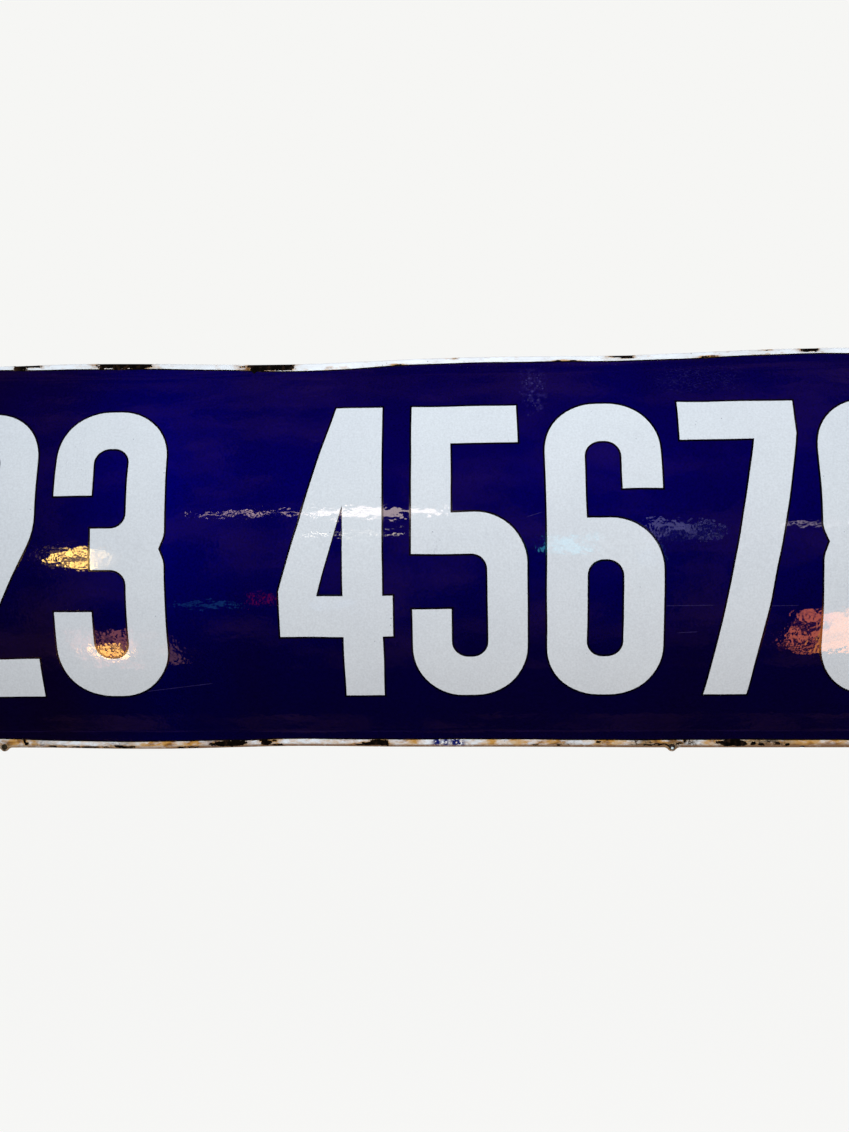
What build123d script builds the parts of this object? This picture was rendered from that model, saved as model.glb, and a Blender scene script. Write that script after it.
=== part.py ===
"""Enamelled metro station sign: one bowed steel sheet with flat long margins and small fixing ears.

The sheet is rolled to an arc over its height, so the face bulges towards the reader. Along the top
and bottom the arc eases through a hollow bend into a flat margin that lies against the wall. Small
half-round ears stand out of the margins, each with a round hole for a fixing screw. The ends are cut
square, the four corners are rounded, and the front edges are softened so that the enamel holds. The
blank was cut by hand, so its long edges sway a few millimetres in and out.

Frame: millimetres, X along the sign, Z up, and the face looks towards -Y. The origin is the middle
of the bounding box.
"""

import os
from math import asin, cos, degrees

from build123d import *

# Overall sheet
panel_length = 2040.0
panel_height = 500.0
sheet_thickness = 2.0
corner_radius = 12.0
edge_rounding = 0.8

# Bowed section
face_radius = 555.0
toe_radius = 30.0
margin_width = 9.0

# Sway of the long edges: how far each stands out, at even steps between its two ears, and how far from
# the ears' centres it keeps
top_sway = [0.0, 0.6, 2.3, 0.5, -3.1, -3.0, 0.2, 0.3, -0.9, 1.6, 3.4, 1.5, 0.0]
top_sway_clearance = 180.0
bottom_sway = [0.0, 1.5, 0.9, -1.9, -1.2, -0.9, -0.6, 0.0]
bottom_sway_clearance = 30.0

# Fixing ears: two below, off the middle, and one near each end above, where the edges run straight
ear_radius = 5.5
ear_flare = 8.0
ear_hole_diameter = 5.5
ear_hole_inset = 0.5
lower_ear_spacing = 866.0
lower_ear_offset = -134.0
upper_ear_end_distance = 120.0

# Worked out: the margin starts where the hollow bend runs out, and the bend meets the arc at toe_angle
margin_start = panel_height / 2 - margin_width
toe_angle = asin(margin_start / (face_radius + toe_radius))
toe_degrees = degrees(toe_angle)
dome_rise = (face_radius + toe_radius) * (1 - cos(toe_angle))
panel_depth = dome_rise + sheet_thickness
crown_y = -panel_depth / 2
margin_y = crown_y + dome_rise

# Worked out: the ears' centres, and how far they stand out past the straight edges
ear_line = panel_height / 2 - ear_hole_inset
ear_reach = ear_line + ear_radius
lower_ear_x = [lower_ear_offset + side * lower_ear_spacing / 2 for side in (-1, 1)]
upper_ear_x = [side * (panel_length / 2 - upper_ear_end_distance) for side in (-1, 1)]
ear_centres = [(x, -ear_line) for x in lower_ear_x] + [(x, ear_line) for x in upper_ear_x]


def swaying_edge(side, ears, clearance, sway):
    """The curved stretch between two ears, above or below, which runs level at both of its ends."""
    start = ears[0] + clearance
    step = (ears[1] - clearance - start) / (len(sway) - 1)
    places = [(start + k * step, side * (panel_height / 2 + out)) for k, out in enumerate(sway)]
    return Spline(places, tangents=[(1, 0), (1, 0)])


os.makedirs("parts", exist_ok=True)

with BuildPart() as sign_panel:
    # The rolled and braked section, as a strip of even thickness behind the line of the face
    with BuildSketch(Plane.YZ):
        with BuildLine():
            Line((margin_y, -ear_reach), (margin_y, -margin_start))
            CenterArc((margin_y - toe_radius, -margin_start), toe_radius, 0, toe_degrees)
            CenterArc((crown_y + face_radius, 0), face_radius, 180 - toe_degrees, 2 * toe_degrees)
            CenterArc((margin_y - toe_radius, margin_start), toe_radius, -toe_degrees, toe_degrees)
            Line((margin_y, margin_start), (margin_y, ear_reach))
            offset(amount=sheet_thickness, side=Side.RIGHT)
        make_face()
    extrude(amount=panel_length / 2, both=True)

    # The blank's outline: swaying edges, rounded corners, and ears that flare into the straight stretches
    with BuildSketch(Plane.XZ) as blank:
        with BuildLine():
            above = swaying_edge(1, upper_ear_x, top_sway_clearance, top_sway)
            below = swaying_edge(-1, lower_ear_x, bottom_sway_clearance, bottom_sway)
            for end, place in ((-panel_length / 2, 0), (panel_length / 2, 1)):
                Polyline(above @ place, (end, panel_height / 2), (end, -panel_height / 2), below @ place)
        make_face()
        corners = [vertex for vertex in blank.vertices() if abs(vertex.X) > panel_length / 2 - corner_radius]
        fillet(corners, radius=corner_radius)
        edge_ends = blank.vertices()
        with Locations(*ear_centres):
            Circle(ear_radius)
        ear_roots = [vertex for vertex in blank.vertices() if vertex not in edge_ends]
        fillet(ear_roots, radius=ear_flare)
        with Locations(*ear_centres):
            Circle(ear_hole_diameter / 2, mode=Mode.SUBTRACT)
    extrude(amount=panel_depth, both=True, mode=Mode.INTERSECT)

    # The front skin's borders with the cut rims and the hole walls are softened, as enamel needs
    front_skin = sign_panel.faces().filter_by(lambda face: face.normal_at().Y < -0.01)
    cut_rims = sign_panel.faces().filter_by(lambda face: abs(face.normal_at().Y) < 0.01)
    front_borders = front_skin.edges()
    softened = [edge for edge in cut_rims.edges() if edge in front_borders]
    fillet(softened, radius=min(edge_rounding, sheet_thickness / 2))

sign_panel.part.label = "sign_panel"
export_step(sign_panel.part, "parts/sign_panel.step")
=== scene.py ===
# %% [markdown]
# An enamelled station sign, built in layers.
# The real sign is one bowed steel sheet that goes through the kiln several times: a dark ground coat,
# then blue, then white. The sheet comes from the CAD frame and stays as it is. Each coat is drawn flat,
# as the enameller cuts a stencil, and laid on the bow by one Geometry Nodes tree.

# %% Load the frame
from bisect import bisect_right
from math import asin, atan2, cos, degrees, exp, hypot, pi, radians, sin, sqrt, tan

import bmesh
import bpy
from mathutils import Matrix, Vector, noise
from mathutils.geometry import tessellate_polygon


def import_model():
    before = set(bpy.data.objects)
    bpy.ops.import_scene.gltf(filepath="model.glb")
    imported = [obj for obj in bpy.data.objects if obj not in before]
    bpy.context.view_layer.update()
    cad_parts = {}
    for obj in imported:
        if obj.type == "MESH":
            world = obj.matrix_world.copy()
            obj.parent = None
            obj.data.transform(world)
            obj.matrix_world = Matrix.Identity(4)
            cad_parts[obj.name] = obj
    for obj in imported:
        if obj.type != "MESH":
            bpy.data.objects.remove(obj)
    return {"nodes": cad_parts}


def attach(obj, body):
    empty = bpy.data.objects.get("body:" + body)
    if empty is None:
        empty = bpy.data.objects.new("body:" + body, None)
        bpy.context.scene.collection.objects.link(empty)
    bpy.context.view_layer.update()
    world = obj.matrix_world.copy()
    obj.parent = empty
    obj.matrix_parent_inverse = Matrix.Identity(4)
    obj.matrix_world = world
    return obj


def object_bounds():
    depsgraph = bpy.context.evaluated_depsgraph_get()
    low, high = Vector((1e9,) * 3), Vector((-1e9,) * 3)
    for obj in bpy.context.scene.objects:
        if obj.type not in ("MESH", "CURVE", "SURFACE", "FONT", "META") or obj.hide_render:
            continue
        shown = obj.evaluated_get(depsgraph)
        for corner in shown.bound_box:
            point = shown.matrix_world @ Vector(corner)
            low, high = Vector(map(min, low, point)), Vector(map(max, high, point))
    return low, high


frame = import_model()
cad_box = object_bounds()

scene = bpy.context.scene
mm = 0.001
print("steel sheet from", [round(v, 3) for v in cad_box[0]], "to", [round(v, 3) for v in cad_box[1]])

# %% Sizes of the sheet
half_length = cad_box[1][0]
half_height = 250 * mm
face_radius = 555 * mm
toe_radius = 30 * mm
margin_width = 9 * mm
corner_radius = 12 * mm
crown_y = cad_box[0][1]

margin_start = half_height - margin_width
toe_angle = asin(margin_start / (face_radius + toe_radius))
arc_end = face_radius * toe_angle
toe_end = arc_end + toe_radius * toe_angle
flat_half_height = toe_end + margin_width
margin_y = crown_y + (face_radius + toe_radius) * (1 - cos(toe_angle))
print("drawn flat, the sheet is", round(2 * flat_half_height / mm, 1), "mm high")

# %% The fixing ears
ear_radius = 5.5 * mm
ear_flare = 8.0 * mm
ear_inset = 0.5 * mm
ear_hole_radius = 2.75 * mm
ears = {1: (-0.900, 0.900), -1: (-0.567, 0.299)}      # side 1 is the upper edge, and -1 the lower one
flare_offset = sqrt((ear_radius + ear_flare) ** 2 - (ear_flare + ear_inset) ** 2)
flare_start = ear_radius * flare_offset / (ear_radius + ear_flare)


def ear_reach(x, side):
    """How far an ear stands out past the edge at x."""
    for centre in ears[side]:
        away = abs(x - centre)
        if away < flare_start:
            return sqrt(ear_radius ** 2 - away ** 2) - ear_inset
        if away < flare_offset:
            return ear_flare - sqrt(ear_flare ** 2 - (flare_offset - away) ** 2)
    return 0.0


print("an ear stands out", round(ear_reach(ears[-1][0], -1) / mm, 1), "mm")


# %% [markdown]
# The sway of the long edges.
# The blank was cut by hand, so its long edges wander a few millimetres, and every border of the enamel
# wanders with them. That line is read from the steel: the rear corners, joined by a smooth curve.

# %% Read the long edges from the steel
edge_band = 6 * mm


def edge_knots(side):
    """(x, how far the edge stands out) along a long edge, without corners and ears."""
    sheet = frame["nodes"]["sign_panel"]
    corners = [sheet.matrix_world @ vertex.co for vertex in sheet.data.vertices]
    back = max(corner.y for corner in corners)
    line = {}
    for corner in corners:
        beyond = side * corner.z - half_height
        at_ear = min(abs(corner.x - ear) for ear in ears[side]) < 0.999 * flare_offset
        if corner.y > back - 0.05 * mm and beyond > -edge_band and not at_ear:
            if abs(corner.x) < half_length - 0.99 * corner_radius:
                line[round(corner.x, 5)] = beyond
    return sorted(line.items())


long_edges = {side: edge_knots(side) for side in (1, -1)}


def sway(x, side):
    """How far the steel's long edge stands out at x, on a smooth curve through its corners."""
    knots = long_edges[side]
    k = min(max(bisect_right(knots, (x, 1.0)) - 1, 1), len(knots) - 3)
    (x0, y0), (x1, y1), (x2, y2), (x3, y3) = knots[k - 1:k + 3]
    if not x1 <= x <= x2:
        return 0.0
    span = x2 - x1
    t = (x - x1) / span
    slope_in, slope_out = (y2 - y0) / (x2 - x0) * span, (y3 - y1) / (x3 - x1) * span
    return (y1 + slope_in * t + (3 * (y2 - y1) - 2 * slope_in - slope_out) * t ** 2
            + (2 * (y1 - y2) + slope_in + slope_out) * t ** 3)


print("the top edge sways from", round(min(y for _, y in long_edges[1]) / mm, 1), "to",
      round(max(y for _, y in long_edges[1]) / mm, 1), "mm")

# %% Thicknesses of the enamel
blue_lift = 0.30 * mm
shadow_lift = 0.36 * mm
white_lift = 0.46 * mm
rim_lift = 0.32 * mm
rim_thickness = 0.26 * mm
field_thickness = 0.28 * mm
print("coats lie", [round(lift / mm, 2) for lift in (blue_lift, rim_lift, white_lift)], "mm above the steel")


# %% [markdown]
# The bow.
# The face is an arc, then a hollow bend, then a flat margin. A bend modifier could curl a flat mesh
# round one arc, but not round three stretches in a row. So a tree works each place out: X stays, the
# drawing's Y becomes the way along the section, and its Z the height above the steel. The outputs of
# nodes are wrapped so that they add and multiply as numbers do, and the tree reads as a formula.

# %% Node trees written as formulas
class Wire:
    """An output of a node. A sum, difference, product or quotient of wires is a Math node."""

    def __init__(self, tree, socket):
        self.tree, self.socket = tree, socket

    def __add__(self, other):
        return maths("ADD", self, other)

    def __sub__(self, other):
        return maths("SUBTRACT", self, other)

    def __rsub__(self, other):
        return maths("SUBTRACT", other, self)

    def __mul__(self, other):
        return maths("MULTIPLY", self, other)

    def __truediv__(self, other):
        return maths("DIVIDE", self, other)

    def __abs__(self):
        return maths("ABSOLUTE", self)


def plug(value, socket):
    """Links a wire to a socket, or writes a plain value on it."""
    if isinstance(value, Wire):
        value.tree.links.new(value.socket, socket)
    else:
        socket.default_value = value


def add(tree, kind, inputs=None, **settings):
    """Adds a node, sets its properties, and fills inputs given by name or number."""
    node = tree.nodes.new(kind)
    for key, value in settings.items():
        setattr(node, key, value)
    for socket, value in (inputs or {}).items():
        plug(value, node.inputs[socket])
    return node


def wire(tree, kind, inputs=None, out=0, **settings):
    """Adds a node and gives one of its outputs."""
    return Wire(tree, add(tree, kind, inputs, **settings).outputs[out])


def tree_of(values):
    """The tree that the first wire among the values belongs to."""
    return next(value.tree for value in values if isinstance(value, Wire))


def maths(operation, *values):
    """One Math node, with wires or numbers for its inputs."""
    return wire(tree_of(values), "ShaderNodeMath", dict(enumerate(values)), operation=operation)


def split(vector):
    """The three parts of a vector."""
    parts = add(vector.tree, "ShaderNodeSeparateXYZ", {0: vector}).outputs
    return [Wire(vector.tree, part) for part in parts]


# %% How a Geometry Nodes tree starts and ends
def new_tree(name, inputs):
    """A tree and its inputs, each given as a kind of socket or as the size it starts with."""
    tree = bpy.data.node_groups.new(name, "GeometryNodeTree")
    for label, kind in inputs.items():
        is_size = isinstance(kind, float)
        socket_type = "NodeSocket" + ("Float" if is_size else kind)
        socket = tree.interface.new_socket(label, in_out="INPUT", socket_type=socket_type)
        if is_size:
            socket.default_value = kind
    tree.interface.new_socket("Result", in_out="OUTPUT", socket_type="NodeSocketGeometry")
    outputs = add(tree, "NodeGroupInput").outputs
    return tree, [Wire(tree, outputs[label]) for label in inputs]


def end_tree(shape, material):
    """Makes the shape real geometry in its material, as the tree's result."""
    tree = shape.tree
    real = wire(tree, "GeometryNodeRealizeInstances", {0: shape})
    painted = wire(tree, "GeometryNodeSetMaterial", {"Geometry": real, "Material": material})
    add(tree, "NodeGroupOutput", {0: painted})
    return tree


# %% The tree that lays a flat drawing on the bow
def bow_tree():
    """Flat X, Y and Z become the place along the sign, along its section, and above the steel."""
    tree, (drawing, face, toe, margin, crown, enamel) = new_tree("lay_on_the_bow", {
        "Drawing": "Geometry", "Face radius": face_radius, "Toe radius": toe_radius,
        "Margin start": margin_start, "Crown": crown_y, "Enamel": "Material"})
    along, up, lift = split(wire(tree, "GeometryNodeInputPosition"))
    turn = maths("ARCSINE", margin / (face + toe))
    arc_length = face * turn
    past_arc = abs(up) - arc_length

    arc_turn = maths("MINIMUM", abs(up), arc_length) / face
    arc_y = crown + face - (face + lift) * maths("COSINE", arc_turn)
    arc_z = (face + lift) * maths("SINE", arc_turn)

    left = turn - maths("MINIMUM", maths("MAXIMUM", past_arc / toe, 0.0), turn)
    rise = (face + toe) * (1.0 - maths("COSINE", turn))
    toe_y = crown + rise - toe + (toe - lift) * maths("COSINE", left)
    flat_part = maths("MAXIMUM", past_arc - toe * turn, 0.0)
    toe_z = margin - (toe - lift) * maths("SINE", left) + flat_part

    in_toe = maths("GREATER_THAN", past_arc, 0.0)
    y, z = (wire(tree, "GeometryNodeSwitch", {0: in_toe, 1: in_arc, 2: past}, input_type="FLOAT")
            for in_arc, past in ((arc_y, toe_y), (arc_z, toe_z)))
    bowed = wire(tree, "ShaderNodeCombineXYZ", {0: along, 1: y, 2: z * maths("SIGN", up)})
    return end_tree(wire(tree, "GeometryNodeSetPosition", {"Geometry": drawing, "Position": bowed}), enamel)


bow = bow_tree()
print("bow tree:", len(bow.nodes), "nodes")


# %% Firing a drawing to a plain mesh
def placed(name, data):
    """A new object in the scene."""
    piece = bpy.data.objects.new(name, data)
    scene.collection.objects.link(piece)
    return piece


def send_through(drawing, tree, inputs):
    """Sends a drawing through a tree, with values for the tree's inputs."""
    modifier = drawing.modifiers.new(tree.name, "NODES")
    modifier.node_group = tree
    for item in tree.interface.items_tree:
        if item.item_type == "SOCKET" and item.in_out == "INPUT" and item.name in inputs:
            modifier[item.identifier] = inputs[item.name]


def evaluated_mesh(drawing):
    """The mesh that the drawing's modifiers make, without the drawing."""
    mesh = bpy.data.meshes.new_from_object(drawing.evaluated_get(bpy.context.evaluated_depsgraph_get()))
    bpy.data.objects.remove(drawing)
    return mesh


def settle(name, drawing, crease=35):
    """Turns the evaluated drawing into a plain mesh that rides on the sign."""
    mesh = evaluated_mesh(drawing)
    mesh.name = name
    mesh.shade_smooth()
    mesh.set_sharp_from_angle(angle=radians(crease))
    piece = placed(name, mesh)
    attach(piece, "root")
    print(name, "has", len(mesh.polygons), "faces")


def fire(name, flat, enamel, thickness):
    """Lays a flat drawing on the bow, thickens it inwards, and makes it a plain mesh."""
    drawing = placed(name + "_drawing", flat)
    send_through(drawing, bow, {"Enamel": enamel})
    body = drawing.modifiers.new("thickness", "SOLIDIFY")
    body.thickness = thickness
    body.offset = -1
    settle(name, drawing)


def flat_mesh(name, points, faces):
    """A mesh in the flat drawing."""
    mesh = bpy.data.meshes.new(name)
    mesh.from_pydata(points, [], faces)
    mesh.update()
    return mesh


# %% [markdown]
# Enamel.
# Vitreous enamel is coloured glass: a deep body colour under a clear, hard gloss, with a faint ripple
# called orange peel. All the enamels share the ripple, and each adds its own body. The patterns read
# Object coordinates, so they stay on the sign.

# %% Shader helpers
def new_material(name):
    """A material, its Principled shader's inputs, and the Object coordinates."""
    material = bpy.data.materials.new(name)
    material.use_nodes = True
    tree = material.node_tree
    return material, tree.nodes["Principled BSDF"].inputs, wire(tree, "ShaderNodeTexCoord", out="Object")


def mapped(place, scale, shift=(0, 0, 0)):
    """The coordinates, stretched and shifted."""
    return wire(place.tree, "ShaderNodeMapping", {0: place, "Scale": scale, "Location": shift})


def cloud(place, scale, detail=3.0, rough=0.55, twist=0.0):
    """Noise from 0 to 1, with its middle near 0.5."""
    return wire(place.tree, "ShaderNodeTexNoise", {"Vector": place, "Scale": scale, "Detail": detail,
                                                   "Roughness": rough, "Distortion": twist})


def remap(value, *limits):
    """A clamped Map Range, from the first two limits to the last two, or to 0 and 1."""
    return wire(value.tree, "ShaderNodeMapRange", dict(enumerate((value, *limits))))


def within(value, low, high, soft):
    """1 between two limits, fading to 0 beyond them."""
    return remap(value, low - soft, low) * remap(value, high + soft, high)


def line_at(value, target, core, soft):
    """1 where the value is close to the target, fading to 0 on both sides."""
    return remap(abs(value - target), core, soft, 1.0, 0.0)


def blend(factor, first, second, way="MIX"):
    """Mixes two colours, given as wires or as red, green and blue."""
    first, second = (value if isinstance(value, Wire) else (*value, 1.0) for value in (first, second))
    return wire(tree_of((factor, first, second)), "ShaderNodeMix", {"Factor": factor, 6: first, 7: second},
                2, data_type="RGBA", blend_type=way)


def tones(value, stops):
    """A colour ramp with the given (position, colour) stops."""
    ramp = add(value.tree, "ShaderNodeValToRGB", {0: value})
    elements = ramp.color_ramp.elements
    while len(elements) < len(stops):
        elements.new(0.5)
    for element, (position, colour) in zip(elements, stops):
        element.position = position
        element.color = (*colour, 1.0)
    return Wire(value.tree, ramp.outputs[0])


def specks(place, scale, size):
    """Small round spots at random places: 1 on a spot, 0 between them."""
    cells = add(place.tree, "ShaderNodeTexVoronoi", {"Vector": place, "Scale": scale}).outputs
    chosen = wire(place.tree, "ShaderNodeSeparateColor", {0: Wire(place.tree, cells["Color"])})
    return maths("LESS_THAN", Wire(place.tree, cells["Distance"]), remap(chosen, 0.55, 1.0, 0.0, size))


def bump(height, strength, distance, before=None):
    """A bump of the given height pattern, laid over an earlier one."""
    inputs = {"Strength": strength, "Distance": distance, "Height": height}
    if before:
        inputs["Normal"] = before
    return wire(height.tree, "ShaderNodeBump", inputs)


def gloss(place, peel=1.0, sag=0.5):
    """Orange peel, short ripples and the slow sag of fired glass, as one chain of bumps."""
    scales = bump(cloud(place, 300, 0.0), peel, 0.030 * mm)
    ripples = bump(cloud(mapped(place, (0.8, 1, 1.5)), 95, 1.0, 0.5), peel, 0.085 * mm, scales)
    return bump(cloud(mapped(place, (1, 1, 1.7)), 22, 2.0), sag, 0.6 * mm, ripples)


def grain(place, colour, depth):
    """Fine mottling, as tiny bubbles under the gloss give it."""
    shade = remap(cloud(place, 420, 2.0, 0.6), 0.32, 0.68, 1 - depth, 1 + depth)
    return blend(1.0, colour, shade, "MULTIPLY")


def dress(material, shader, colour, roughness, normal=None):
    """Plugs what each material ends with into its shader, and gives the material."""
    plug(colour, shader["Base Color"])
    plug(roughness, shader["Roughness"])
    if normal:
        plug(normal, shader["Normal"])
    print(material.name, "has", len(material.node_tree.nodes), "nodes")
    return material


# %% Marks on the blue, and painted shade along the crease
# A scratch is its two ends along the sign, its height, and how much it climbs along its length.
scratches = [(0.275, 0.337, -0.0690, 0.006), (0.386, 0.437, -0.0700, 0.006), (0.300, 0.318, -0.1020, 0.05),
             (-0.395, -0.368, 0.1510, -0.03), (0.118, 0.131, 0.0420, 0.30), (-0.385, -0.285, -0.1760, 0.12)]
crease_height = -0.2286


def marks(place, colour):
    """Dried droplets, faint wrinkles, hair scratches and a painted shade line along the crease, over the
    blue.
    """
    x, _, z = split(place)
    patch = within(x, 0.126, 0.130, 0.020) * within(z, 0.190, 0.214, 0.028)
    patch = remap(patch + cloud(place, 70, 2.0), 0.75, 1.15)
    halo = remap(cloud(place, 190, 2.0), 0.48, 0.60) * patch
    colour = blend(halo * 0.30, colour, (0.028, 0.020, 0.130))
    colour = blend(specks(place, 300, 0.62) * patch * 0.40, colour, (0.050, 0.042, 0.180))
    curls = cloud(mapped(place, (1.0, 1, 2.4)), 120, 1.0, 0.5, 0.5)
    wrinkled = within(x, 0.300, 0.372, 0.03) * within(z, 0.205, 0.226, 0.012)
    colour = blend(line_at(curls, 0.5, 0.008, 0.030) * wrinkled * 0.30, colour, (0.028, 0.024, 0.130))
    for start, end, height, climb in scratches:
        scratch = line_at(z - x * climb, height - climb * start, 0.20 * mm, 0.55 * mm)
        colour = blend(scratch * within(x, start, end, 4 * mm) * 0.28, colour, (0.070, 0.055, 0.180))
    # A dark line along the lower crease, broken up by noise, is painted shade.
    crease = line_at(z, crease_height, 0.3 * mm, 1.0 * mm)
    shown = remap(cloud(mapped(place, (1, 1, 0)), 14, 2.0), 0.4, 0.6)
    return blend(crease * shown * 0.45, colour, (0.010, 0.005, 0.050))


print("scratches on the blue:", len(scratches))


# %% Blue enamel
def blue_enamel():
    """Deep cobalt, blacker towards the foot of the sign, with slow upright bands in its depth and painted
    shade at its left end.
    """
    material, shader, place = new_material("cobalt_enamel")
    x, _, z = split(place)
    body = tones(remap(z, -half_height, half_height), [
        (0.00, (0.0030, 0.0010, 0.0195)),
        (0.25, (0.0020, 0.0004, 0.0270)),
        (0.45, (0.0012, 0.0001, 0.0560)),
        (0.70, (0.0018, 0.0001, 0.0700)),
        (1.00, (0.0026, 0.0005, 0.0430)),
    ])
    # Along the sign the depth of the blue changes, and its left end is painted darker: painted shade where
    # less light reaches.
    depth_and_shade_stops = [(0.00, 0.0), (0.12, 0.15), (0.26, 1.0), (0.36, 0.68), (0.52, 0.54), (1.00, 0.51)]
    depth_and_shade = tones(remap(x, -0.65, 0.55), [(at, (depth, depth, depth)) for at, depth in depth_and_shade_stops])
    bands = cloud(mapped(place, (7.0, 1.0, 1.2)), 1.0, 2.0)
    thin_and_shaded_blue = blend(1.0, body, (1.1, 1.0, 0.45), "MULTIPLY")
    deep = blend(1.0, body, (0.2, 0.2, 1.75), "MULTIPLY")
    colour = blend(remap(bands, 0.30, 0.72, -0.12, 0.23) + depth_and_shade * 0.77, thin_and_shaded_blue, deep)
    colour = blend(specks(place, 26, 0.018) * 0.5, colour, (0.20, 0.19, 0.30))
    smears = remap(cloud(mapped(place, (3, 1, 14)), 2.0, 4.0), 0.35, 0.75, 0.018, 0.055)
    return dress(material, shader, grain(place, marks(place, colour), 0.30), smears, gloss(place))


cobalt = blue_enamel()


# %% White enamel of the numerals
def white_enamel():
    """Cool white glass with pinholes and faint hair lines."""
    material, shader, place = new_material("cool_white_enamel")
    veil = remap(cloud(place, 9, 4.0), 0.3, 0.75)
    colour = blend(veil, (0.655, 0.695, 0.738), (0.618, 0.656, 0.705))
    colour = blend(specks(place, 95, 0.085) * 0.55, colour, (0.12, 0.13, 0.20))
    hairs = line_at(cloud(mapped(place, (38, 1, 5), (0.2, 0.0, 0.4)), 3.0, 5.0, 0.6, 0.8), 0.5, 0.0, 0.006)
    worn = remap(cloud(place, 12, 2.0), 0.56, 0.66)
    colour = blend(hairs * worn * 0.35, colour, (0.30, 0.32, 0.40))
    return dress(material, shader, grain(place, colour, 0.062), 0.045, gloss(place))


cool_white = white_enamel()


# %% Dark fringe round the numerals
def fringe_enamel():
    """The black-blue line that shows where white was brushed clean along the stencil."""
    material, shader, place = new_material("black_blue_fringe")
    tint = blend(cloud(place, 60, 2.0), (0.0003, 0.0002, 0.0015), (0.0012, 0.0008, 0.0050))
    return dress(material, shader, tint, 0.12)


fringe = fringe_enamel()


# %% White enamel of the rim
def rim_enamel():
    """White glass with ochre stains, a foot line that is partly rust and partly painted shadow, stray blue
    drops and black pinholes.
    """
    material, shader, place = new_material("stained_rim_enamel")
    names = ("stain", "grime", "rust", "drops")
    stain, grime, rust, drops = (wire(place.tree, "ShaderNodeAttribute", out="Fac", attribute_name=name)
                                 for name in names)
    veil = cloud(mapped(place, (0.5, 1, 1.6)), 60, 4.0)
    colour = blend(remap(veil, 0.40, 0.70), (0.85, 0.91, 0.98), (0.72, 0.74, 0.77))
    mottle = cloud(mapped(place, (0.7, 1, 1.8)), 150, 4.0, 0.65)
    stain = remap(stain + remap(mottle, 0.32, 0.68) * 0.7, 0.54, 1.24)
    ochre = tones(cloud(mapped(place, (0.6, 1, 1.6)), 110, 3.0),
                  [(0.34, (0.62, 0.45, 0.27)), (0.50, (0.56, 0.28, 0.05)), (0.64, (0.24, 0.095, 0.012))])
    colour = blend(stain, colour, ochre)
    film = grime * remap(cloud(place, 200, 3.0), 0.34, 0.62, 0.30, 1.0)
    colour = blend(film, colour, (0.13, 0.100, 0.068))
    curls = cloud(mapped(place, (0.6, 1, 1.2)), 210, 1.0, 0.5, 0.6)
    threads = line_at(curls, 0.5, 0.012, 0.035) * remap(grime, 0.18, 0.7)
    colour = blend(threads, colour, (0.030, 0.018, 0.008))
    # The rust layer holds edge rust, rust patches and the lower foot line, which is partly rust and partly
    # painted shadow under the edge.
    rust = rust * remap(cloud(place, 120, 3.0), 0.25, 0.5, 0.6, 1.0)
    colour = blend(rust, colour, (0.205, 0.108, 0.050))
    drops = drops * remap(cloud(place, 240, 2.0), 0.42, 0.47)
    colour = blend(drops, colour, (0.003, 0.008, 0.13))
    colour = blend(specks(place, 170, 0.16) * 0.6, colour, (0.05, 0.04, 0.04))
    dull = remap(maths("MAXIMUM", rust, stain), 0.0, 1.0, 0.18, 0.6)
    return dress(material, shader, colour, dull, gloss(place, 0.5, 0.3))


stained_white = rim_enamel()


# %% Steel under the chips, and the ground coat behind
def sheet_steel():
    """Oxidised, near-black steel on the front, and the speckled black ground coat on the back."""
    material, shader, place = new_material("oxidised_sheet_steel")
    patches = cloud(place, 130, 5.0, 0.65)
    oxide = tones(patches, [(0.30, (0.0008, 0.0006, 0.0008)), (0.54, (0.0028, 0.0020, 0.0014)),
                            (0.74, (0.050, 0.022, 0.010))])
    fleck = remap(cloud(place, 420, 2.0), 0.52, 0.70)
    ground = blend(fleck * 0.5, (0.010, 0.011, 0.018), (0.10, 0.10, 0.11))
    facing = split(wire(place.tree, "ShaderNodeNewGeometry", out="True Normal"))
    behind = maths("GREATER_THAN", facing[1], 0.5)
    plug(remap(behind, 0.0, 1.0, 0.12, 0.5), shader["Specular IOR Level"])
    colour, roughness = blend(behind, oxide, ground), remap(behind, 0.0, 1.0, 0.65, 0.25)
    return dress(material, shader, colour, roughness, bump(patches, 0.5, 0.2 * mm))


steel = sheet_steel()
for slot in frame["nodes"]["sign_panel"].material_slots:
    slot.material = steel


# %% [markdown]
# Where the white rim ends.
# The stencil for the rim was cut by hand, so the white border is wider in some places and narrower in
# others. A few smooth swellings on a mean width say that in one short formula.

# %% Width of the white rim
# On each side, a wave is its height, length and shift, and a swelling its middle, spread and height.
ground_gap = 1.7 * mm
end_mean = 9.0 * mm
mean_widths = {1: 6.4 * mm, -1: 9.0 * mm}
waves = {1: [(0.25 * mm, 0.041, 0.0), (0.20 * mm, 0.017, 1.0)],
         -1: [(0.30 * mm, 0.052, 0.6), (0.15 * mm, 0.015, 0.0)]}
swellings = {1: [(-0.150, 0.085, 2.3 * mm), (-0.590, 0.060, -1.8 * mm)],
             -1: [(-0.590, 0.050, 2.2 * mm), (-0.250, 0.030, -1.4 * mm)]}


def swelling(x, middle, spread, height):
    """A smooth bump along the sign."""
    return height * exp(-((x - middle) / spread) ** 2)


def rim_width(x, side):
    """Width of the white along a long edge."""
    width = mean_widths[side] + sum(height * sin(x / length + shift) for height, length, shift in waves[side])
    return width + sum(swelling(x, *one) for one in swellings[side])


print("white rim:", *(round(rim_width(0, side) / mm, 1) for side in (1, -1)), "mm above and below")


# %% [markdown]
# The blue field.
# One closed slab of glass covers the bowed face up to the rim. It is a plain grid, close enough along
# the section to follow the bow, and its top and bottom rows follow the rim's hand-cut line.

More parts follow.
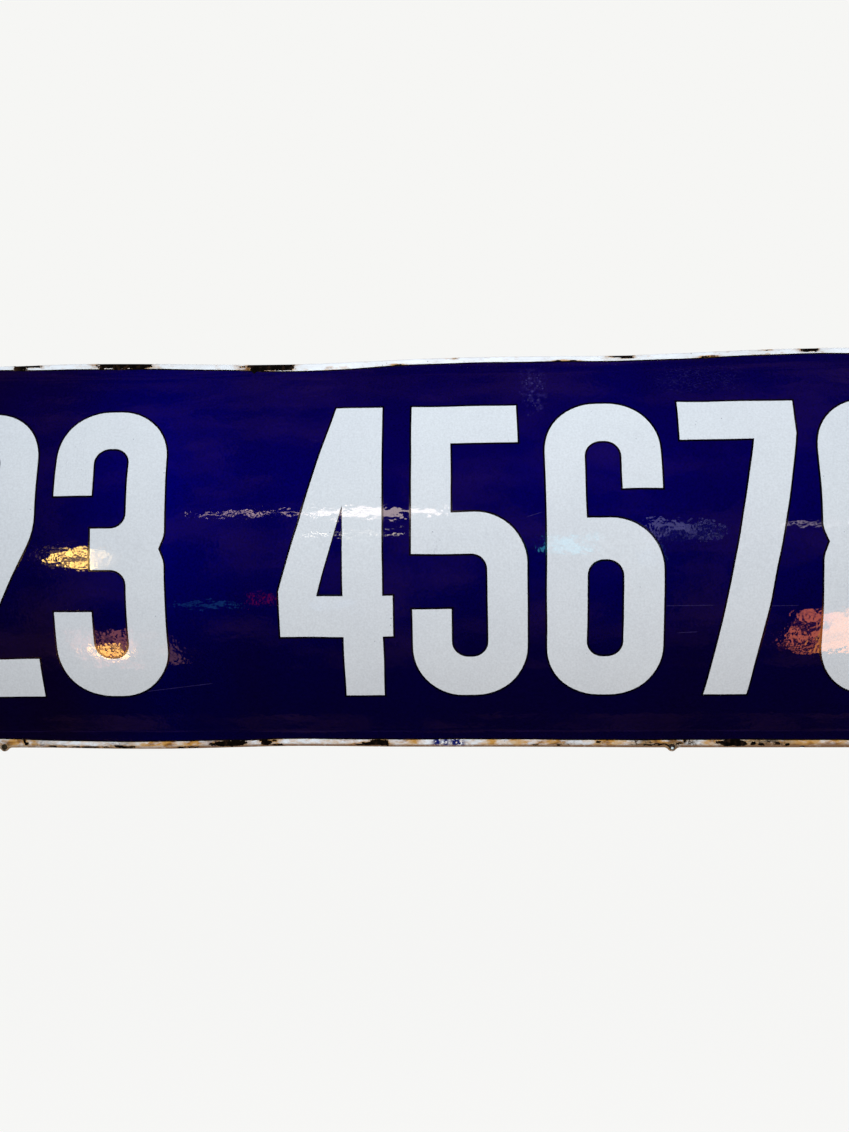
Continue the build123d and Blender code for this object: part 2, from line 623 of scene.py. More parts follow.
# %% Blue field
notch_x = -0.2325
notch_depth = 3.6 * mm
notch_slope = 1.1
notch_crumble = 0.35 * mm
column_step = 7 * mm
fine_step = 0.7 * mm
row_count = 66


def blue_border(x, side):
    """Where the blue ends in the flat drawing, with the notch that a large chip bit into it above."""
    reach = flat_half_height + sway(x, side) - rim_width(x, side) - ground_gap
    away = abs(x - notch_x)
    if side == 1:
        reach -= max(0.0, notch_depth - notch_slope * away)
        reach -= notch_crumble * noise.noise(Vector((x * 900, 3.1, 0))) if away < notch_depth else 0.0
    return side * reach


def blue_field():
    """The slab's outer skin, as a grid of columns and rows."""
    reach = half_length - end_mean - ground_gap
    xs = []
    x = -reach
    while x < reach:
        xs.append(x)
        x += fine_step if abs(x - notch_x) < 2 * notch_depth + column_step else column_step
    xs.append(reach)
    points = []
    for x in xs:
        low, high = blue_border(x, -1), blue_border(x, 1)
        points += [(x, low + (high - low) * k / row_count, blue_lift) for k in range(row_count + 1)]
    faces = []
    for i in range(len(xs) - 1):
        for k in range(row_count):
            a = i * (row_count + 1) + k
            b = a + row_count + 1
            faces.append((a, b, b + 1, a + 1))
    return flat_mesh("blue_field", points, faces)


fire("blue_field", blue_field(), cobalt, field_thickness)


# %% [markdown]
# The numerals.
# Block numerals are strokes of one width, so each outline is a short list of corners with their radii. A
# font would be quicker, but its strokes could not be set. The outlines are filled flat and cut into small
# squares, so that they can follow the bow.

# %% Outlines of the numerals, in millimetres, with a radius at each corner that isn't sharp
wide = 141.5
tall = 370.0
stroke = 48.5
bar = 51.0
outer = 64.0
inner = 20.0
one_width = 111.0
waist = 190.0
waist_dip = 7.0
waist_slope = 17.0
waist_round = 34.0
hook_low = 112.0
hook_high = tall - hook_low
five_inside = 180.0
four_left, four_right = 80.0, 128.5
four_low = 78.0
left_in = stroke
right_in = wide - stroke
top_in = tall - bar
waist_low = waist - bar / 2
waist_high = waist + bar / 2
stem_left = one_width - stroke
four_high = four_low + bar


def counter(low, high):
    """The opening inside a bowl."""
    return [(left_in, low, inner), (left_in, high, inner), (right_in, high, inner), (right_in, low, inner)]


def six():
    """A closed bowl with an open hook above."""
    bowl_top = 222.0
    outline = [(0, 0, outer), (0, tall, outer), (wide, tall, outer), (wide, hook_high), (right_in, hook_high),
               (right_in, top_in, inner), (left_in, top_in, inner), (left_in, bowl_top),
               (wide, bowl_top, outer), (wide, 0, outer)]
    return [outline, counter(bar, bowl_top - bar)]


def half_turned(loops):
    """The same shape turned upside down."""
    return [[(wide - x, tall - y, *radius) for x, y, *radius in loop] for loop in loops]


right_side = [(wide, tall, outer), (wide, waist + waist_slope, waist_round), (wide - waist_dip, waist),
              (wide, waist - waist_slope, waist_round), (wide, 0, outer)]
left_side = [(0, 0, outer), (0, waist - waist_slope, waist_round), (waist_dip, waist),
             (0, waist + waist_slope, waist_round), (0, tall, outer)]
numerals = {
    "1": [[(stem_left, 0), (one_width, 0), (one_width, tall), (68, tall), (0, 316), (0, 260),
           (stem_left, 306)]],
    "2": [[(0, 252), (0, tall, outer), (wide, tall, outer), (wide, 214, 90), (60, bar), (wide, bar),
           (wide, 0), (0, 0), (0, 52, 20), (right_in, 238, 70), (right_in, top_in, inner),
           (left_in, top_in, inner), (left_in, 252)]],
    "3": [[(0, hook_high), (0, tall, outer), *right_side, (0, 0, outer), (0, hook_low), (left_in, hook_low),
           (left_in, bar, inner), (right_in, bar, inner), (right_in, waist_low, inner), (left_in, waist_low),
           (left_in, waist_high), (right_in, waist_high, inner), (right_in, top_in, inner),
           (left_in, top_in, inner), (left_in, hook_high)]],
    "4": [[(four_left, 0), (four_right, 0), (four_right, four_low), (wide, four_low), (wide, four_high),
           (four_right, four_high), (four_right, tall), (70, tall), (0, 135), (0, four_low),
           (four_left, four_low)],
          [(46.5, four_high), (four_left, four_high), (four_left, 241)]],
    "5": [[(0, five_inside), (0, tall), (132, tall), (132, top_in), (left_in, top_in),
           (left_in, five_inside + bar), (wide, five_inside + bar, outer), (wide, 0, outer), (0, 0, outer),
           (0, hook_low), (left_in, hook_low), (left_in, bar, inner), (right_in, bar, inner),
           (right_in, five_inside, inner)]],
    "6": six(),
    "7": [[(0, top_in), (0, tall), (wide, tall), (wide, 325), (80, 0), (28, 0), (90, top_in)]],
    "8": [left_side + right_side, counter(bar, waist_low), counter(waist_high, top_in)],
    "9": half_turned(six()),
}
print("numerals drawn:", " ".join(numerals))


# %% Rounding corners and growing an outline
def rounded(loop, step=radians(7)):
    """A closed loop of (x, y) points in which each corner is an arc of its radius, or sharp."""
    points = []
    for k, (x, y, *radius) in enumerate(loop):
        corner = Vector((x, y))
        if not radius:
            points.append(corner)
            continue
        back = (Vector(loop[k - 1][:2]) - corner).normalized()
        ahead = (Vector(loop[(k + 1) % len(loop)][:2]) - corner).normalized()
        half_angle = back.angle(ahead) / 2
        centre = corner + (back + ahead).normalized() * (radius[0] / sin(half_angle))
        start = corner + back * (radius[0] / tan(half_angle)) - centre
        sweep = pi - 2 * half_angle
        if start.cross(back) > 0:
            sweep = -sweep
        count = max(2, round(abs(sweep) / step))
        points += [centre + Matrix.Rotation(sweep * i / count, 2) @ start for i in range(count + 1)]
    return points


def area(points):
    """Signed area: positive when the loop turns to the left."""
    return sum(a.cross(b) for a, b in zip(points, points[1:] + points[:1])) / 2


def grown(points, distance):
    """The loop with each edge moved outwards, with mitred corners."""
    moved = []
    for k, point in enumerate(points):
        before = (point - points[k - 1]).normalized()
        after = (points[(k + 1) % len(points)] - point).normalized()
        normal = Vector((before.y + after.y, -before.x - after.x)).normalized()
        moved.append(point + normal * (distance / max(0.4, normal.dot(Vector((before.y, -before.x))))))
    return moved


def outline_loops(digit, spread=0.0):
    """The digit's loops in millimetres: the outer one to the left, openings to the right."""
    loops = []
    for k, corners in enumerate(numerals[digit]):
        points = rounded(corners)
        if (area(points) > 0) != (k == 0):
            points.reverse()
        loops.append(grown(points, spread))
    return loops


stencil_wander = 0.9
stencil_pitch = 22
stencil_shift = 9       # how much the place of a digit changes its wander
square = 9.0
weld = 0.02
noise.seed_set(7)       # without a seed, noise_vector gives other vectors on every run


def filled(name, loops, origin, lift):
    """Fills the loops, cuts them into small squares and moves them to their place, in metres."""
    flat = [[Vector((p.x, p.y, 0)) for p in loop] for loop in loops]
    corners = [point for loop in flat for point in loop]
    mesh = bmesh.new()
    verts = [mesh.verts.new(point) for point in corners]
    for triangle in tessellate_polygon(flat):
        mesh.faces.new([verts[i] for i in triangle])
    for axis in (0, 1):
        normal = Vector((axis == 0, axis == 1, 0))
        low, high = (limit(point[axis] for point in corners) for limit in (min, max))
        for k in range(1, int((high - low) / square) + 1):
            parts = mesh.verts[:] + mesh.edges[:] + mesh.faces[:]
            bmesh.ops.bisect_plane(mesh, geom=parts, plane_co=normal * (low + k * square), plane_no=normal)
    bmesh.ops.remove_doubles(mesh, verts=mesh.verts, dist=weld)
    for vert in mesh.verts:
        x, y, _ = vert.co
        wander = noise.noise_vector(Vector((x * mm, y * mm, origin[0] * stencil_shift)) * stencil_pitch)
        x, y = x + stencil_wander * wander.x, y + stencil_wander * wander.y
        vert.co = Vector((origin[0] + x * mm, origin[1] + y * mm, lift))
    bmesh.ops.recalc_face_normals(mesh, faces=mesh.faces)
    if sum(face.normal.z * face.calc_area() for face in mesh.faces) < 0:
        bmesh.ops.reverse_faces(mesh, faces=mesh.faces)
    data = bpy.data.meshes.new(name)
    mesh.to_mesh(data)
    mesh.free()
    return data


print("the outline of 8 has", len(outline_loops("8")[0]), "points")

# %% Numerals on the sign
words = ("123", "456789")
fringe_thickness = 0.08 * mm
numeral_thickness = 0.12 * mm
letter_gap = 24.0
word_gap = 143.0
numeral_middle = 2.0 * mm
fringe_width = 2.5
widths = [[one_width if digit == "1" else wide for digit in word] for word in words]
line_length = sum(sum(w) + letter_gap * (len(w) - 1) for w in widths) + word_gap * (len(words) - 1)
numeral_foot = numeral_middle - tall / 2 * mm

x = -line_length / 2
for word, row in zip(words, widths):
    for digit, width in zip(word, row):
        origin = (x * mm, numeral_foot)
        dark = filled("fringe_" + digit, outline_loops(digit, fringe_width), origin, shadow_lift)
        fire("fringe_" + digit, dark, fringe, fringe_thickness)
        white = filled("numeral_" + digit, outline_loops(digit), origin, white_lift)
        fire("numeral_" + digit, white, cool_white, numeral_thickness)
        x += width + letter_gap
    x += word_gap - letter_gap
print("the line of numerals is", round(line_length), "mm long")


# %% [markdown]
# The white rim, with its chips.
# The rim is one ribbon of glass round the whole sheet, over the flat margin, the softened edge and the
# cut side. Glass does not wear thin, it flakes off in shells, so the chips are real openings: every point
# gets its distance from the nearest chip, and the faces are cut where that distance changes sign. To
# delete small squares instead would leave stairs where real chips have a ragged, curving edge.

# %% Chips in the white
# A chip is its two ends along the sign and its two sides in from the edge, in millimetres. A side below
# zero opens the chip over the edge.
chips = {1: [
    (-552, -535, -0.8, 5.8), (-540, -516, -0.8, 3.0), (-443, -366, -5.0, 5.8), (-419, -400, 2.0, 7.2),
    (-396, -374, 2.0, 6.9), (-438, -430, 2.0, 6.4), (-241, -180, -5.0, 7.9), (-237, -227, 1.0, 11.4),
    (-252, -243, 1.8, 3.6), (-51, -38, 5.6, 7.8), (26, 31, 0.2, 1.6), (156, 163, 5.4, 7.2),
    (175, 184, 5.6, 7.0), (224, 257, -1.6, 2.2), (238, 256, -1.6, 3.8), (345, 358, 5.2, 6.8),
    (420, 429, -0.4, 1.5), (466, 488, -1.0, 4.0),
], -1: [
    (-541.5, -538.0, 5.4, 12.4), (-540.5, -535.0, 2.8, 7.0), (-508, -494, 0.9, 2.8), (-478, -430, 0.7, 2.5),
    (-418, -394, 0.8, 3.8), (-337, -327, 0.5, 2.5), (-321, -309, 0.5, 2.5), (-290, -247, 1.4, 8.4),
    (-294, -284, 3.6, 6.6), (-266, -254, 5.0, 9.4), (-226, -213, 1.4, 8.2), (-228, -216, 6.4, 9.4),
    (-220, -202, 1.2, 3.2), (-214, -206, 6.2, 8.6), (-106, -86, 1.0, 2.8), (-94, -62, 1.4, 5.6),
    (-84, -61, 2.6, 8.8), (-75, -71, -0.8, 1.4), (124, 129, 1.4, 3.2), (154, 158, 1.4, 3.0),
    (204, 210, 4.8, 7.6), (263, 284, 2.6, 3.7), (281, 298, 3.2, 5.0), (305, 312, 4.7, 6.7),
    (313, 317, 6.6, 9.2), (360, 391, 1.5, 8.4), (366, 382, 5.0, 9.8), (352, 363, 4.8, 8.2),
    (397, 403, 2.4, 7.4), (407, 415, 2.2, 5.2), (418, 425, 5.4, 7.8), (427, 433, 3.2, 6.4),
    (437, 446, 1.8, 4.8), (458, 463, -0.8, 1.4),
]}
squareness = 4.5
# Each layer of crumbling is its height, its pitch along and across the edge, and its slice of the noise.
crumbling = [(1.0 * mm, 150, 330, 1.7), (0.9 * mm, 520, 700, 4.2)]
crumbling_reach = 3.0 * mm


def shell_distance(x, depth, chip):
    """Rough distance from a chip's blunt oval: negative inside it."""
    left, right, near, far = (value * mm for value in chip)
    across = abs(x - (left + right) / 2) / ((right - left) / 2)
    down = abs(depth - (near + far) / 2) / ((far - near) / 2)
    oval = (across ** squareness + down ** squareness) ** (1 / squareness)
    return (oval - 1) * min(right - left, far - near) / 2


def nearest_chip(x, depth, side):
    """Distance from the smooth outline of the nearest chip."""
    return min(shell_distance(x, depth, chip) for chip in chips[side])


def chip_distance(x, depth, side):
    """Distance from the nearest chip, roughened as broken glass is."""
    nearest = nearest_chip(x, depth, side)
    if nearest > crumbling_reach:
        return nearest
    return nearest + sum(height * noise.noise(Vector((x * along, depth * across, at)))
                         for height, along, across, at in crumbling)


print("chips above and below:", len(chips[1]), len(chips[-1]))


# %% Stations along the edge
near_chip = 2.5 * mm
fine_station, middle_station, coarse_station = 0.8 * mm, 2.0 * mm, 5.0 * mm
slope_step = 0.05 * mm
view_limits = (-0.60, 0.54)


def stations_on(side):
    """Places along a long edge, close together at the chips and ears."""
    end = half_length - corner_radius
    places = [-end]
    while places[-1] < end:
        x = places[-1]
        close = any(left * mm - near_chip < x < right * mm + near_chip for left, right, *_ in chips[side])
        close = close or any(abs(x - centre) < 1.2 * flare_offset for centre in ears[side])
        shown = view_limits[0] < x < view_limits[1]
        places.append(x + (fine_station if close else middle_station if shown else coarse_station))
    return places[:-1] + [end]


def long_edge(side):
    """Stations of a long edge: point, way in, outward normal, width of the white."""
    made = []
    for x in stations_on(side):
        near = (x - slope_step, x, x + slope_step)
        before, here, after = (sway(at, side) + ear_reach(at, side) for at in near)
        out = Vector(((before - after) / (2 * slope_step), side)).normalized()
        point = Vector((x, side * (flat_half_height + here)))
        made.append((point, Vector((0, -side)), out, rim_width(x, side) + ear_reach(x, side)))
    return made


def corner(centre_x, centre_y, start, width_in, width_out, count=9):
    """Stations round a corner, turning clockwise from the start angle."""
    made = []
    for k in range(1, count):
        angle = start - pi / 2 * k / count
        out = Vector((cos(angle), sin(angle)))
        point = Vector((centre_x, centre_y)) + out * corner_radius
        made.append((point, -out, out, width_in + (width_out - width_in) * k / count))
    return made


def short_edge(side, reach_y, count=60):
    """Stations of an end of the sign: downwards on the right, upwards on the left."""
    made = []
    for k in range(count + 1):
        y = side * reach_y * (1 - 2 * k / count)
        made.append((Vector((side * half_length, y)), Vector((-side, 0)), Vector((side, 0)), end_mean))
    return made


def all_stations():
    """Once round the sign, clockwise from its top left corner."""
    cx = half_length - corner_radius
    cy = flat_half_height - corner_radius
    top, bottom = long_edge(1), long_edge(-1)[::-1]
    return (top + corner(cx, cy, pi / 2, top[-1][3], end_mean) + short_edge(1, cy)
            + corner(cx, -cy, 0, end_mean, bottom[0][3]) + bottom
            + corner(-cx, -cy, -pi / 2, bottom[-1][3], end_mean) + short_edge(-1, cy)
            + corner(-cx, cy, pi, end_mean, top[0][3]))


stations = all_stations()
print("stations round the sign:", len(stations))


# %% The ribbon of white, cut where the chips are
edge_round = 0.8 * mm
front_rows = 12
wall_depths = (0.9 * mm, 1.7 * mm)
long_edge_zone = 20 * mm


def ribbon():
    """Rows of points across the rim, each row a (place, depth from the edge) list round the sign."""
    rows = []
    for point, inward, out, width in stations:
        shoulder = point - out * edge_round
        row = []
        for k in range(front_rows + 1):
            inside = (width - edge_round) * (1 - k / front_rows)
            row.append((Vector((*(shoulder + inward * inside), rim_lift)), edge_round + inside))
        for angle in (30, 60, 90):
            spot = shoulder + out * (edge_round + rim_lift) * sin(radians(angle))
            lift = (edge_round + rim_lift) * cos(radians(angle)) - edge_round
            row.append((Vector((*spot, lift)), edge_round * (1 - angle / 90)))
        row += [(Vector((*(point + out * rim_lift), -depth)), 0.0) for depth in wall_depths]
        rows.append(row)
    return rows


def keep_value(place, depth):
    """Positive where the white enamel is still there."""
    if abs(place.y) < flat_half_height - long_edge_zone:
        return 1.0
    side = 1 if place.y > 0 else -1
    ear_y = side * (flat_half_height - ear_inset)
    holes = [hypot(place.x - centre, place.y - ear_y) - ear_hole_radius for centre in ears[side]]
    return min(chip_distance(place.x, depth, side), *holes)


def cut_grid(name, rows):
    """Makes faces between the rows, and cuts each one where the kept value changes sign."""
    grid = {(i, j): (place, keep_value(place, depth))
            for i, row in enumerate(rows) for j, (place, depth) in enumerate(row)}
    points = []
    known = {}

    def vertex(*ends):
        """The index of a grid point, or of the crossing between two of them."""
        key = tuple(sorted(ends))
        if key not in known:
            (place, value), (other, far_value) = grid[ends[0]], grid[ends[-1]]
            known[key] = len(points)
            points.append(place.lerp(other, value / (value - far_value)) if len(ends) == 2 else place)
        return known[key]

    faces = []
    for i in range(len(rows)):
        following = (i + 1) % len(rows)
        for j in range(len(rows[0]) - 1):
            cell = [(i, j), (following, j), (following, j + 1), (i, j + 1)]
            face = []
            for a, b in zip(cell, cell[1:] + cell[:1]):
                here, there = grid[a][1] > 0, grid[b][1] > 0
                if here:
                    face.append(vertex(a))
                if here != there:
                    face.append(vertex(a, b))
            if len(face) > 2:
                faces.append(face)
    return flat_mesh(name, points, faces)


rim_drawing = cut_grid("white_rim", ribbon())
print("the ribbon has", len(rim_drawing.polygons), "faces")


# %% [markdown]
# Stains on the rim.
# Water stands on the lower edge and carries rust out from under the chips: brown along the foot, ochre in
# soft patches, and a fringe of both round every chip. The brown line along the foot is partly rust and
# partly painted shadow under the edge. The stains are numbers on the rim's own points, and the material
# breaks them up with its noise.

# %% Paint the stains, and the painted shadow along the foot
# A patch is its middle along the sign, how far it spreads, and how strong it is.
ochre = {1: [(-0.248, 0.010, 0.6), (-0.130, 0.020, 0.35), (-0.045, 0.010, 0.6), (0.170, 0.016, 0.6),
             (0.352, 0.016, 0.8), (0.425, 0.012, 0.5)],
         -1: [(-0.553, 0.008, 1.0), (-0.527, 0.006, 0.6), (-0.355, 0.034, 0.55), (-0.314, 0.007, 0.9),
              (-0.125, 0.020, 0.25), (-0.031, 0.012, 0.6), (0.070, 0.008, 0.8), (0.104, 0.012, 0.8),
              (0.147, 0.014, 0.9), (0.221, 0.018, 0.9), (0.275, 0.016, 0.8), (0.345, 0.012, 0.4),
              (0.412, 0.018, 1.0), (0.460, 0.022, 1.0), (0.505, 0.022, 0.55)]}
grime = [(-0.515, 0.020, 0.35), (0.262, 0.014, 0.9), (0.320, 0.014, 0.8), (0.420, 0.026, 0.8),
         (-0.410, 0.020, 0.4), (0.540, 0.02, 0.4), (0.165, 0.018, 0.4)]
rust = [(0.425, 0.028, 0.55), (0.500, 0.030, 0.75), (-0.300, 0.010, 0.5), (0.205, 0.030, 0.25)]
drops = [(0.001, 0.005, 1.4), (0.012, 0.003, 1.2), (0.027, 0.008, 1.8), (-0.286, 0.008, 0.4)]
bottom_stain, bottom_film = 0.30, 0.05
foot_solid, foot_line, foot_film, rust_climb = 2.0 * mm, 3.5 * mm, 5.5 * mm, 7.0 * mm
halo_reach, edge_rust_reach = 0.9 * mm, 0.6 * mm
ear_stain_ends, ear_stain_starts = 12.0 * mm, 7.0 * mm


def patch_sum(x, patches):
    """Sum of soft patches along the sign."""
    return min(1.0, sum(swelling(x, *patch) for patch in patches))


def fade(value, none, full):
    """0 at the first limit, 1 at the second, smooth between."""
    t = min(1.0, max(0.0, (value - none) / (full - none)))
    return t * t * (3 - 2 * t)


def paint(mesh):
    """Writes the stains, with the painted shadow along the foot, on the ribbon's points, from their place in
    the flat drawing.
    """
    layers = {name: [] for name in ("stain", "grime", "rust", "drops")}
    for vertex in mesh.vertices:
        x, y, _ = vertex.co
        side = -1 if y < 0 else 1
        depth = flat_half_height + sway(x, side) - abs(y)
        on_long_edge = depth < long_edge_zone
        shown = on_long_edge and view_limits[0] < x < view_limits[1]
        halo = exp(-max(nearest_chip(x, depth, side) if shown else 1.0, 0) / halo_reach)
        stain, film, foot, ear, spilled = 0.06, 0.0, 0.45 * exp(-max(depth, 0) / edge_rust_reach), 0.0, 0.0
        if side == -1 and on_long_edge:
            stain = bottom_stain + (0.0 if shown else 0.1)
            film = bottom_film + 0.22 * fade(depth, foot_film, foot_solid)
            # Along the lower foot the brown line is partly rust and partly painted shadow under the edge.
            foot = fade(depth, foot_line, foot_solid) * (0.55 + 0.45 * fade(x, -0.42, -0.26))
            ear = max(fade(hypot(x - centre, depth - ear_inset), ear_stain_ends, ear_stain_starts)
                      for centre in ears[side])
        if side == -1 and shown:
            stain += patch_sum(x, ochre[side]) * (0.5 + 0.5 * fade(depth, 2 * mm, 5 * mm))
            film += patch_sum(x, grime)
            foot += patch_sum(x, rust) * fade(depth, rust_climb, foot_line)
            spilled = patch_sum(x, drops) * fade(depth, 0.5 * mm, 3 * mm)
        elif shown:
            stain += patch_sum(x, ochre[side]) * fade(depth, 3 * mm, 6 * mm)
        values = (stain + 0.6 * halo + 0.4 * ear, film + 0.35 * (halo + ear), 0.95 * foot * (1 - 0.75 * ear),
                  spilled)
        for layer, value in zip(layers.values(), values):
            layer.append(min(1.0, value))
    for name, layer in layers.items():
        mesh.attributes.new(name, "FLOAT", "POINT").data.foreach_set("value", layer)


paint(rim_drawing)
fire("white_rim", rim_drawing, stained_white, rim_thickness)


# %% [markdown]
# Two old screws.
# A round-head screw sits in each lower ear. It is turned from a short profile, slotted, and placed by a
# second tree, which also gives each screw its own turn.

# %% Screw materials
def screw_steel(name, low, high, brown, roughness, metallic, glint_at=None):
    """Steel mottled between two greys, with brown rust, and perhaps one bright spot that is a painted
    highlight.
    """
    material, shader, place = new_material(name)
    mottle = cloud(place, 700, 4.0, 0.6)
    colour = blend(remap(mottle, 0.35, 0.65), low, high)
    bloom = remap(cloud(place, 380, 3.0), 0.45, 0.62)
    colour = blend(bloom * brown, colour, (0.115, 0.055, 0.025))
    if glint_at:
        # A small bluish-white spot here is a painted highlight on the screw's head.
        away = wire(place.tree, "ShaderNodeVectorMath", {0: place, 1: glint_at}, "Value", operation="DISTANCE")
        colour = blend(remap(away, 1.9 * mm, 1.3 * mm), colour, (0.80, 0.95, 1.0))
    plug(metallic, shader["Metallic"])
    return dress(material, shader, colour, roughness, bump(mottle, 0.5, 0.15 * mm))


# Where the painted highlight sits on the right screw's head.
painted_glint_spot = (ears[-1][1] - 0.4 * mm, margin_y - 2.6 * mm, -half_height - 0.6 * mm)
rusty = screw_steel("rusted_screw_steel", (0.006, 0.005, 0.004), (0.100, 0.085, 0.045), 0.5, 0.6, 0.6)
# The right screw's steel is near black, with a painted highlight.
worn = screw_steel("dark_screw_steel_with_painted_glint", (0.004, 0.004, 0.004), (0.020, 0.018, 0.016), 0.4, 0.4, 0.0, painted_glint_spot)

# %% One screw, turned and slotted
head_radius = 4.0 * mm
head_height = 2.4 * mm
shank_radius = 2.2 * mm
shank_length = 10.0 * mm
tip_length = 2.0 * mm
tip_radius = 0.6 * mm
slot_width = 1.1 * mm
slot_depth = 1.1 * mm
dome_rings = 7
segments = 40


def around(ring):
    """The numbers of a ring's neighbouring points, in pairs, once round the screw."""
    return [(ring * segments + i, ring * segments + (i + 1) % segments) for i in range(segments)]


def screw_mesh():
    """A screw along Y with its head towards the reader and its seat at Y = 0."""
    dome = (head_radius ** 2 + head_height ** 2) / (2 * head_height)
    steps = [asin(head_radius / dome) * k / dome_rings for k in range(1, dome_rings + 1)]
    profile = [(dome * sin(angle), dome - head_height - dome * cos(angle)) for angle in steps]
    profile += [(shank_radius, 0.0), (shank_radius, shank_length - tip_length), (tip_radius, shank_length)]
    turns = [2 * pi * i / segments for i in range(segments)]
    points = [Vector((r * sin(turn), y, r * cos(turn))) for r, y in profile for turn in turns]
    top = len(points)
    points += [Vector((0, -head_height, 0)), Vector((0, shank_length, 0))]
    faces = [(a, b, b + segments, a + segments) for ring in range(len(profile) - 1) for a, b in around(ring)]
    faces += [(top, b, a) for a, b in around(0)]
    faces += [(top + 1, a, b) for a, b in around(len(profile) - 1)]
    mesh = flat_mesh("screw", points, faces)
    shape = bmesh.new()
    shape.from_mesh(mesh)
    bmesh.ops.recalc_face_normals(shape, faces=shape.faces)
    shape.to_mesh(mesh)
    shape.free()
    return mesh


def slotted(mesh):
    """The screw with its slot cut by a bar."""
    reach = 2 * head_radius
    half = slot_width / 2
    low, high = -head_height - mm, -head_height + slot_depth
    corners = [(x, y, z) for x in (-reach, reach) for y in (low, high) for z in (-half, half)]
    sides = [(0, 1, 3, 2), (4, 6, 7, 5), (0, 4, 5, 1), (2, 3, 7, 6), (0, 2, 6, 4), (1, 5, 7, 3)]
    blank = placed("screw_blank", mesh)
    cutter = placed("slot_bar", flat_mesh("slot_bar", corners, sides))
    cut = blank.modifiers.new("slot", "BOOLEAN")
    cut.operation = "DIFFERENCE"
    cut.object = cutter
    cut.solver = "EXACT"
    result = evaluated_mesh(blank)
    bpy.data.objects.remove(cutter)
    return result


screw = slotted(screw_mesh())
print("a screw has", len(screw.polygons), "faces")


# %% The tree that sets a screw in its ear
def screw_tree():
    """Puts the screw at the given place, turned about its own axis."""
    tree, (screw, place, turn, metal) = new_tree("set_a_screw", {
        "Screw": "Geometry", "Place": "Vector", "Turn": "Vector", "Steel": "Material"})
    spot = wire(tree, "GeometryNodePoints", {"Position": place})
    inputs = {"Points": spot, "Instance": screw, "Rotation": turn}
    return end_tree(wire(tree, "GeometryNodeInstanceOnPoints", inputs), metal)


set_screw = screw_tree()
seat_y = margin_y - rim_lift
for name, centre, turn, metal in zip(("screw_left", "screw_right"), ears[-1], (68, -35), (rusty, worn)):
    holder = placed(name + "_drawing", screw.copy())
    send_through(holder, set_screw, {"Place": (centre, seat_y, ear_inset - half_height),
                                     "Turn": (0.0, radians(turn), 0.0), "Steel": metal})
    settle(name, holder, 40)


# %% [markdown]
# The room.
# A glossy enamel sign shows whatever stands in front of it. The blue stays deep only because a dark
# cloth stands before it, as in a photographer's studio, so a dark dome is put where the mirror image
# looks. Glowing cards give the bright streak and the coloured glints. Reflections alone see all these.

# %% Page colour and ambient light
page_colour = (0.921, 0.921, 0.905)
ambient_colour = (0.93, 0.965, 1.0)
ambient_strength = 0.58


def mixed(factor, first, second):
    """Two shaders mixed by a factor."""
    return wire(factor.tree, "ShaderNodeMixShader", {0: factor, 1: first, 2: second})


def rays(tree, kind):
    """1 for rays of the given kind."""
    return wire(tree, "ShaderNodeLightPath", out="Is " + kind + " Ray")


def world():
    """Page colour for the camera, reflections and glass, and a softer even light for surfaces."""
    sky = bpy.data.worlds.new("studio")
    scene.world = sky
    sky.use_nodes = True
    tree = sky.node_tree
    tree.nodes.clear()
    seen = maths("MAXIMUM", rays(tree, "Camera"), rays(tree, "Glossy"))
    seen = maths("MAXIMUM", seen, rays(tree, "Transmission"))
    lit = wire(tree, "ShaderNodeBackground", {0: (*ambient_colour, 1), 1: ambient_strength})
    page = wire(tree, "ShaderNodeBackground", {0: (*page_colour, 1)})
    add(tree, "ShaderNodeOutputWorld", {0: mixed(seen, lit, page)})


world()
print("page colour", page_colour)


# %% Pieces of the room
def room_material(name):
    """A material without a shader, and its tree."""
    material = bpy.data.materials.new(name)
    material.use_nodes = True
    material.node_tree.nodes.clear()
    return material, material.node_tree


def room_piece(name, mesh, material, surface):
    """A staging piece whose material ends with the given surface."""
    add(surface.tree, "ShaderNodeOutputMaterial", {0: surface})
    mesh.materials.append(material)
    piece = placed(name, mesh)
    print(name, "is in the room")
    return piece


def glint_only(piece):
    """Lets only reflections see the piece."""
    piece.visible_camera = False
    piece.visible_diffuse = False
    piece.visible_transmission = False
    piece.visible_shadow = False


# %% Floor
floor_z = -1.25
floor_half = 20.0
floor_tone = (0.74, 0.66, 0.60)
floor_page = (1.000, 1.005, 0.995)
page_share = 0.86


def floor():
    """A plain pale floor that shows as the page, and keeps the sign's soft shadow."""
    material, tree = room_material("pale_floor")
    matt = wire(tree, "ShaderNodeBsdfDiffuse", {0: (*floor_tone, 1)})
    page = wire(tree, "ShaderNodeEmission", {0: (*floor_page, 1)})
    corners = [(x * floor_half, y * floor_half, floor_z) for x, y in ((-1, -1), (1, -1), (1, 1), (-1, 1))]
    surface = mixed(rays(tree, "Camera") * page_share, matt, page)
    room_piece("floor", flat_mesh("floor", corners, [(0, 1, 2, 3)]), material, surface).visible_glossy = False


floor()

# %% Dark cloth before the sign
cloth_radius = 3.3
cloth_edge_y = 0.3


